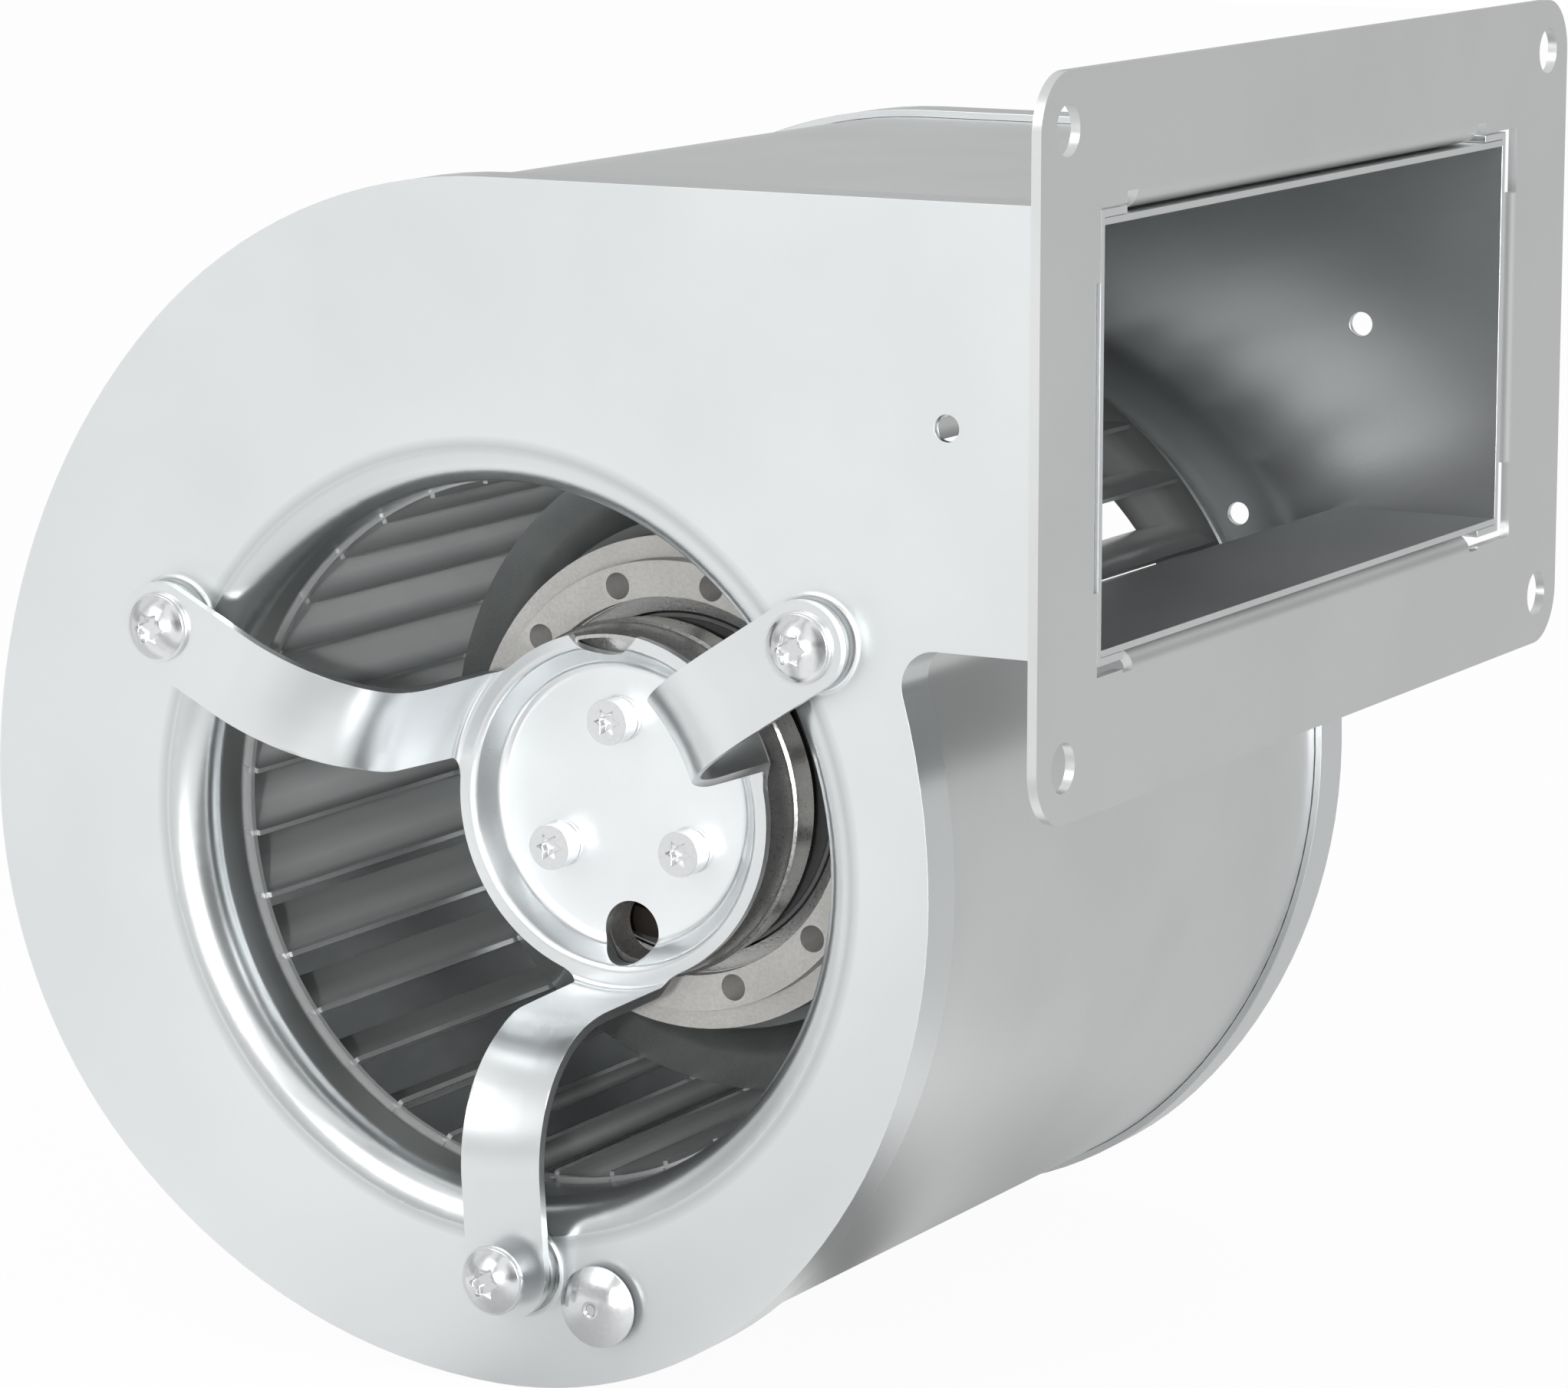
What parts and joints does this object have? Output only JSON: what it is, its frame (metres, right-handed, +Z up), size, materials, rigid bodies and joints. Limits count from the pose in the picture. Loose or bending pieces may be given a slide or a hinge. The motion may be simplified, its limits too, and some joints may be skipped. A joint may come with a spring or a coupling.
{
  "type": "centrifugal fan",
  "caption": "Double-inlet centrifugal fan in a zinc sheet scroll housing, motor held in the inlet by a three-arm bracket, rectangular outlet flange.",
  "frame": {"origin": "centre of the outlet flange's hole pattern, on the flange's front face", "axes": "+X out of the outlet, +Y along the wheel's axis away from the bracket side, +Z up"},
  "size_m": [0.1942, 0.1916, 0.2064],
  "materials": {
    "zinc_sheet": "galvanised, satin",
    "wheel_sheet": "galvanised, satin",
    "cast_aluminium": "die-cast, matt",
    "core_steel": "laminated",
    "copper_wire": "enamelled",
    "plug_cap": "zinc, satin",
    "black_plastic": "matt",
    "bright_steel": "zinc plated, bright"
  },
  "bodies": {
    "housing": {"near_side_panel": "zinc_sheet", "far_side_panel": "zinc_sheet", "scroll_wrap": "zinc_sheet", "outlet_flange": "zinc_sheet", "spider_bracket": "zinc_sheet", "bracket_screws": "bright_steel", "motor_screws": "bright_steel", "motor_screw_washers": "bright_steel", "panel_plug": "plug_cap", "motor_end_cover": "cast_aluminium", "front_bearing_outer_ring": "bright_steel", "rear_bearing_outer_ring": "bright_steel", "bearing_preload_spring": "bright_steel", "stator_core": "core_steel", "stator_winding": "copper_wire", "front_insulator": "black_plastic", "rear_insulator": "black_plastic"},
    "wheel": {"rotor_cup": "cast_aluminium", "rotor_cage": "cast_aluminium", "rotor_shaft": "bright_steel", "shaft_retaining_clip": "bright_steel", "front_bearing_inner_ring": "bright_steel", "rear_bearing_inner_ring": "bright_steel", "front_bearing_balls": "bright_steel", "rear_bearing_balls": "bright_steel", "blades": "wheel_sheet", "near_end_ring": "wheel_sheet", "far_end_ring": "wheel_sheet", "impeller_web": "wheel_sheet"}
  },
  "joints": [
    {"name": "impeller_spin", "type": "hinge", "parent": "housing", "child": "wheel", "pos_m": [-0.101, -0.0033, -0.0685], "axis": [0, 1, 0], "continuous": true}
  ]
}
